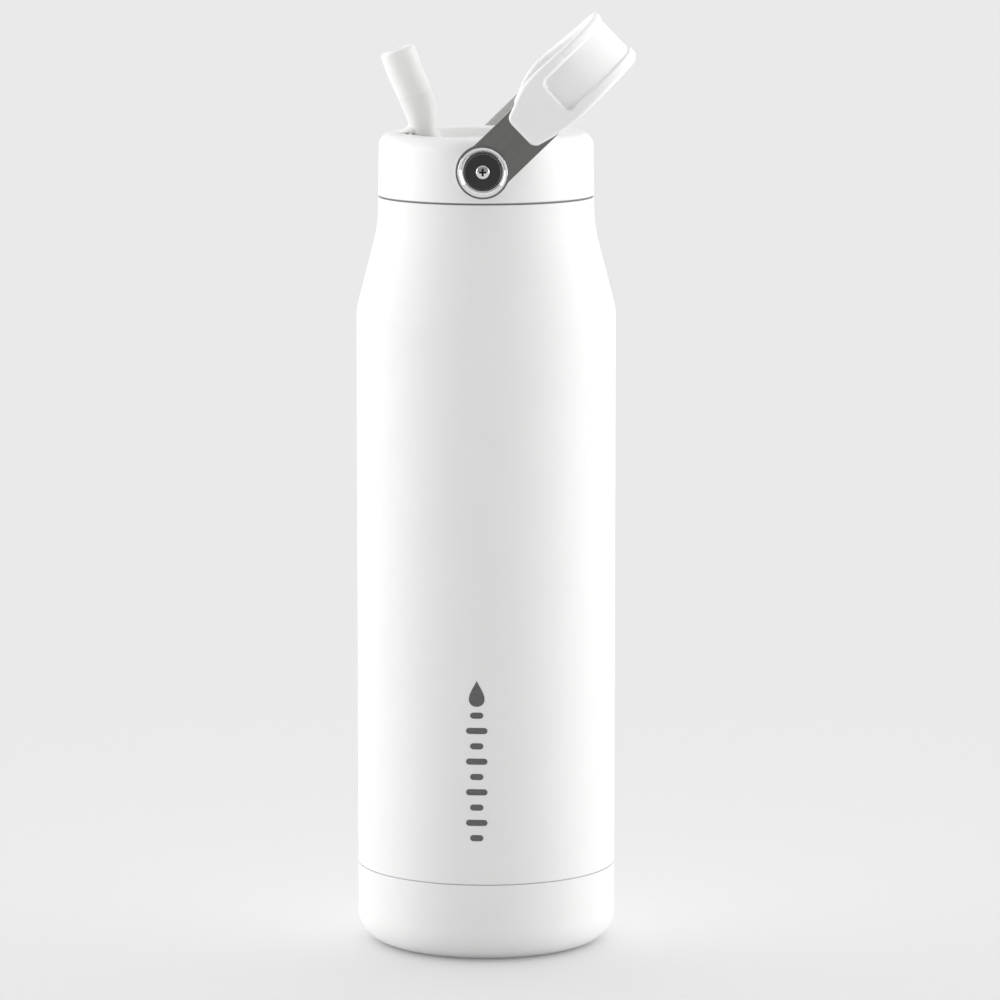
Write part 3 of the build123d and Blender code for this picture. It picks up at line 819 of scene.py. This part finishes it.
class BOTTLE_OT_pivots(bpy.types.Operator):
    """Turn the rings, caps and screws of both pivots, and finish what is under them."""

    bl_idname = "bottle.pivots"
    bl_label = "Pivots"

    # Millimetres; the recess values say which faces of the screw's head take the painted shade
    ring_radius = 6.85
    ring_lip = 0.55
    bevel_inner = 4.97
    bevel_depth = 1.38
    hole = 1.35
    cap_radius = 4.93
    cap_height = 0.34
    cap_gap = 0.01
    head_radius = 1.95
    head_height = 0.8
    head_edge = 0.2
    shank_radius = 1.25
    shank_length = 7.0
    shank_chamfer = 0.25
    recess_radius = 1.2
    recess_depth = 0.75
    recess_floor = 0.5
    recess_steep = 0.8

    def execute(self, context):
        chrome = polished_metal("ring_chrome", (0.80, 0.80, 0.81))
        black = moulded_plastic("black_plastic", (0.022, 0.022, 0.021), 0.4, 0.55)
        screw = polished_metal("screw_steel", (0.74, 0.74, 0.75), 0.1, 0.2)
        # Painted shade: near-black steel laid on the faces inside the screws' cross recesses
        recess = polished_metal("recess_painted_shade", (0.05, 0.05, 0.05), 0.4, 0.6)
        brass = brushed_metal("insert_brass", (0.60, 0.45, 0.2), (1.0, 20.0, 1.0))
        lip = -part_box("pivot_ring_front")[0][1] / MM
        base = -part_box("pivot_ring_front")[1][1] / MM
        floor = lip - self.bevel_depth
        for side, sign in SIDES.items():
            place = pivot_frame(sign)
            ring = placed(lathe(self.ring_outline(base, lip, floor)), place)
            mesh_object("ring_" + side, ring, chrome, "lid", "pivot_ring_" + side)
            cap = placed(lathe(self.cap_outline(floor)), place)
            mesh_object("cap_" + side, cap, black, "lid", "pivot_cap_" + side)
            seat = floor + self.cap_height
            head = placed(self.screw(seat), place)
            piece = mesh_object("screw_" + side, head, screw, "lid", "pivot_screw_" + side)
            self.paint_recess_shade(piece, recess, (seat + self.head_height) * MM)
            paint(black, "pivot_washer_" + side)
            paint(brass, "pivot_insert_" + side)
        return {"FINISHED"}

    def ring_outline(self, base, lip, floor):
        """Dished ring: a narrow lip, then a bevel of about 45 degrees down to the cap."""
        return rounded(
            [
                (self.hole, base, 0.0),
                (self.ring_radius, base, 0.0),
                (self.ring_radius, lip, 0.14),
                (self.ring_radius - self.ring_lip, lip, 0.1),
                (self.bevel_inner, floor, 0.0),
                (self.hole, floor, 0.0),
            ]
        )

    def cap_outline(self, floor):
        """Flat cap on the ring's floor, slightly lower at its rim than round the screw."""
        face = floor + self.cap_height
        seat = floor + self.cap_gap
        return rounded(
            [
                (self.hole, seat, 0.0),
                (self.cap_radius, seat, 0.0),
                (self.cap_radius, face - 0.04, 0.1),
                (self.head_radius + 0.5, face, 0.5),
                (self.hole, face, 0.0),
            ]
        )

    def screw(self, seat):
        """Pan head with a tapered cross recess, on a plain shank."""
        top = seat + self.head_height
        end = seat - self.shank_length
        outline = [
            (0.0, end),
            (self.shank_radius - self.shank_chamfer, end),
            (self.shank_radius, end + self.shank_chamfer),
            (self.shank_radius, seat),
            (self.head_radius - 0.05, seat),
            (self.head_radius, seat + 0.08),
        ]
        dome = self.head_height - self.head_edge
        for step in range(12):
            angle = pi / 2 * step / 12
            radius = self.head_radius * cos(angle) ** 0.8
            outline.append((radius, seat + self.head_edge + dome * sin(angle)))
        outline.append((0.0, top))
        cutter = []
        for height, reach, half in ((top + 0.3, 1.42, 0.34), (top - 0.7, 0.45, 0.2)):
            cross = []
            for quarter in range(4):
                turn = Matrix.Rotation(quarter * pi / 2, 2)
                for corner in ((half, half), (half, reach), (-half, reach)):
                    cross.append((*(turn @ Vector(corner)), height))
            cutter.append(cross)
        return carve(lathe(outline, 64), ring_loft(cutter))

    def paint_recess_shade(self, piece, finish, top):
        """Painted shade: a second, near-black finish on the faces of the cross recess, where shade
        falls; top is how far out the head reaches.
        """
        piece.data.materials.append(finish)
        for face in piece.data.polygons:
            centre = face.center
            radius = sqrt(centre.x**2 + (centre.z - PIVOT.z) ** 2)
            depth = top - abs(centre.y)
            steep = abs(face.normal.y) < self.recess_steep
            in_recess = radius < self.recess_radius * MM and depth < self.recess_depth * MM
            if in_recess and (steep or depth > self.recess_floor * MM):
                face.material_index = 1


class BOTTLE_OT_mark(bpy.types.Operator):
    """Lay the etched level mark on the front of the shell: a drop over a column of bars."""

    bl_idname = "bottle.mark"
    bl_label = "Level mark"

    # Millimetres: where the lowest bar's room starts, and how far left of the middle the mark lies
    low = 33.7
    centre = -1.65
    proud = 0.035
    sunk = 0.12
    bars = 9
    bar_share = 0.2
    short_bar = 0.62
    drop_share = 0.17

    def execute(self, context):
        sizes = context.scene.bottle_sizes
        colour = context.scene.bottle_colours.mark
        steel = brushed_metal("etched_steel", colour, (12.0, 1.0, 1.0), 0.0, 0.42, 0.6)
        shape = bmesh.new()
        drop = sizes.mark_height * self.drop_share
        pitch = (sizes.mark_height - drop) / self.bars
        for index in range(self.bars):
            middle = self.low + pitch * (index + 0.5)
            half = sizes.mark_width / 2
            if index % 2 == 0:
                half *= self.short_bar
            self.patch(shape, self.bar(half, pitch * self.bar_share), middle)
        outline = self.drop(sizes.mark_width * 0.4, drop * 0.46)
        self.patch(shape, outline, self.low + sizes.mark_height - drop * 0.5)
        mark = mesh_object("level_mark", shape, steel, "bottle")
        return {"FINISHED"}

    def bar(self, half_width, half_height):
        """Bar with round ends, with points along its straight sides."""
        outline = []
        reach = half_width - half_height
        for side in (1, -1):
            for step in range(9):
                angle = side * pi / 2 - pi * step / 8
                outline.append((side * reach + half_height * cos(angle), half_height * sin(angle)))
            for step in range(1, 8):
                outline.append((side * reach * (1 - step / 4), -side * half_height))
        return outline

    def drop(self, radius, half_height):
        """Water drop: round below, drawn to a point above."""
        outline = []
        for step in range(60):
            angle = 2 * pi * step / 60
            width = 1.3 * radius * sin(angle) * sin(angle / 2) ** 1.5
            outline.append((width, half_height * cos(angle)))
        return outline

    def patch(self, shape, outline, middle):
        """Thin closed patch bent round the shell."""
        shares = (0.0, 0.3, 0.6, 0.85, 1.0)
        layers = [(share, self.proud) for share in shares]
        layers += [(share, -self.sunk) for share in reversed(shares)]
        count = len(outline)
        loops = []
        for share, lift in layers:
            loop = []
            for x, z in outline if share else outline[:1]:
                angle = (self.centre + x * share) / SHELL_RADIUS
                reach = (SHELL_RADIUS + lift) * MM
                height = (middle + z * share) * MM
                loop.append(shape.verts.new((reach * sin(angle), -reach * cos(angle), height)))
            loops.append(loop * count if len(loop) == 1 else loop)
        for low, high in zip(loops, loops[1:]):
            for step in range(count):
                ahead = (step + 1) % count
                corners = [low[step], low[ahead], high[ahead], high[step]]
                shape.faces.new(list(dict.fromkeys(corners)))


class BOTTLE_OT_inside(bpy.types.Operator):
    """Finish the liner, the straw and the pieces in the vacuum space."""

    bl_idname = "bottle.inside"
    bl_label = "Inside"

    def execute(self, context):
        paint(brushed_metal("bare_steel", (0.52, 0.52, 0.53), (40.0, 40.0, 1.0)), "inner_liner")
        paint(clear_straw((0.80, 0.82, 0.83)), "straw")
        paint(brushed_metal("getter_metal", (0.2, 0.2, 0.21), (1.0, 1.0, 1.0)), "getter")
        paint(polished_metal("solder", (0.6, 0.6, 0.62), 0.3, 0.5), "vacuum_plug")
        return {"FINISHED"}


class BOTTLE_OT_stage(bpy.types.Operator):
    """Lay the pale floor, the soft studio light and the camera."""

    bl_idname = "bottle.stage"
    bl_label = "Stage"

    # Metres and watts
    floor_half = 60.0
    floor_glow = 0.066
    softbox_width = 0.9
    softbox_height = 1.5
    softbox_energy = 10.9
    softbox_reach = 1.1
    softbox_place = (-0.07, 0.35)
    softbox_aim = (0.0, 0.0, 0.15)
    # Axis, where a ramp of the surround starts and ends along it, and its two strengths
    ramps = (("Y", -0.8, 0.3, 0.30, 0.885), ("Z", 0.25, 0.75, 0.0, 0.165))

    def execute(self, context):
        scene = context.scene
        scene.view_settings.view_transform = "Standard"
        scene.view_settings.look = "None"
        floor = self.floor()
        self.world(scene)
        self.side_lights(scene, floor)
        self.camera(scene)
        return {"FINISHED"}

    def floor(self):
        """Pale floor that runs to the horizon."""
        half = self.floor_half
        shape = bmesh.new()
        corners = [(-half, -half, 0.0), (half, -half, 0.0), (half, half, 0.0), (-half, half, 0.0)]
        shape.faces.new([shape.verts.new(corner) for corner in corners])
        mesh = bpy.data.meshes.new("floor")
        shape.to_mesh(mesh)
        shape.free()
        finish = new_finish("floor_paper", (0.94, 0.94, 0.94), 0.9, Specular_IOR_Level=0.0)
        shader = finish.node_tree.nodes["Principled BSDF"]
        shader.inputs["Emission Color"].default_value = (1.0, 1.0, 1.0, 1.0)
        shader.inputs["Emission Strength"].default_value = self.floor_glow
        add_bump(finish, grain(finish, 0.002), 0.00001, 0.2)
        mesh.materials.append(finish)
        floor = bpy.data.objects.new("floor", mesh)
        bpy.context.scene.collection.objects.link(floor)
        return floor

    def world(self, scene):
        """Soft surround, darker in front of the object and brightest overhead."""
        world = bpy.data.worlds.new("studio")
        world.use_nodes = True
        scene.world = world
        nodes, links = world.node_tree.nodes, world.node_tree.links
        background = nodes["Background"]
        background.inputs["Color"].default_value = (1.0, 1.0, 1.0, 1.0)
        place = nodes.new("ShaderNodeTexCoord")
        split = nodes.new("ShaderNodeSeparateXYZ")
        links.new(place.outputs["Generated"], split.inputs["Vector"])
        total = nodes.new("ShaderNodeMath")
        total.operation = "ADD"
        links.new(total.outputs["Value"], background.inputs["Strength"])
        for socket, (axis, start, end, low, high) in zip(total.inputs, self.ramps):
            remap = nodes.new("ShaderNodeMapRange")
            remap.interpolation_type = "SMOOTHSTEP"
            remap.inputs["From Min"].default_value = start
            remap.inputs["From Max"].default_value = end
            remap.inputs["To Min"].default_value = low
            remap.inputs["To Max"].default_value = high
            links.new(split.outputs[axis], remap.inputs["Value"])
            links.new(remap.outputs["Result"], socket)

    def side_lights(self, scene, floor):
        """A tall softbox on each side; they light the object and not the floor."""
        receivers = bpy.data.collections.new("softbox_receivers")
        receivers.objects.link(floor)
        receivers.collection_objects[0].light_linking.link_state = "EXCLUDE"
        for side, sign in (("left", -1.0), ("right", 1.0)):
            data = bpy.data.lights.new("softbox_" + side, "AREA")
            data.shape = "RECTANGLE"
            data.size = self.softbox_width
            data.size_y = self.softbox_height
            data.energy = self.softbox_energy
            light = bpy.data.objects.new("softbox_" + side, data)
            light.location = (sign * self.softbox_reach, *self.softbox_place)
            aim = Vector(self.softbox_aim) - light.location
            light.rotation_euler = aim.to_track_quat("-Z", "Z").to_euler()
            light.light_linking.receiver_collection = receivers
            scene.collection.objects.link(light)

    def camera(self, scene):
        """Long lens, a little above the lid and looking down."""
        azimuth = radians(1.6)
        tilt = radians(8.03)
        distance = 1.5177
        height = 0.340
        side_aim = 0.0039
        camera = bpy.data.objects.new("camera", bpy.data.cameras.new("camera"))
        camera.data.lens = 195.0
        camera.data.sensor_width = 36.0
        camera.data.clip_start = 0.01
        camera.data.clip_end = 200.0
        right = Vector((cos(azimuth), sin(azimuth), 0.0))
        back = Vector((sin(azimuth), -cos(azimuth), 0.0))
        camera.location = back * distance + Vector((0.0, 0.0, height))
        aim = right * side_aim + Vector((0.0, 0.0, height - distance * sin(tilt) / cos(tilt)))
        camera.rotation_mode = "QUATERNION"
        camera.rotation_quaternion = (aim - camera.location).to_track_quat("-Z", "Y")
        scene.collection.objects.link(camera)
        scene.camera = camera


class BOTTLE_PT_panel(bpy.types.Panel):
    """Lists the bottle's pieces."""

    bl_idname = "BOTTLE_PT_panel"
    bl_label = "Insulated bottle"
    bl_space_type = "VIEW_3D"
    bl_region_type = "UI"
    bl_category = "Bottle"

    def draw(self, context):
        layout = self.layout
        for group in (context.scene.bottle_sizes, context.scene.bottle_colours):
            box = layout.box()
            for name in group.__annotations__:
                box.prop(group, name)
        for operator in OPERATORS:
            layout.operator(operator.bl_idname)


OPERATORS = (
    BOTTLE_OT_steel_body,
    BOTTLE_OT_lid,
    BOTTLE_OT_spout,
    BOTTLE_OT_handle,
    BOTTLE_OT_pivots,
    BOTTLE_OT_mark,
    BOTTLE_OT_inside,
    BOTTLE_OT_stage,
)
CLASSES = (BottleSizes, BottleColours, *OPERATORS, BOTTLE_PT_panel)


def register():
    for item in CLASSES:
        bpy.utils.register_class(item)
    bpy.types.Scene.bottle_sizes = bpy.props.PointerProperty(type=BottleSizes)
    bpy.types.Scene.bottle_colours = bpy.props.PointerProperty(type=BottleColours)


def unregister():
    del bpy.types.Scene.bottle_colours
    del bpy.types.Scene.bottle_sizes
    for item in reversed(CLASSES):
        bpy.utils.unregister_class(item)


def main():
    register()
    bpy.ops.bottle.steel_body()
    bpy.ops.bottle.lid()
    bpy.ops.bottle.spout()
    bpy.ops.bottle.handle()
    bpy.ops.bottle.pivots()
    bpy.ops.bottle.mark()
    bpy.ops.bottle.inside()
    bpy.ops.bottle.stage()


if __name__ == "__main__":
    main()
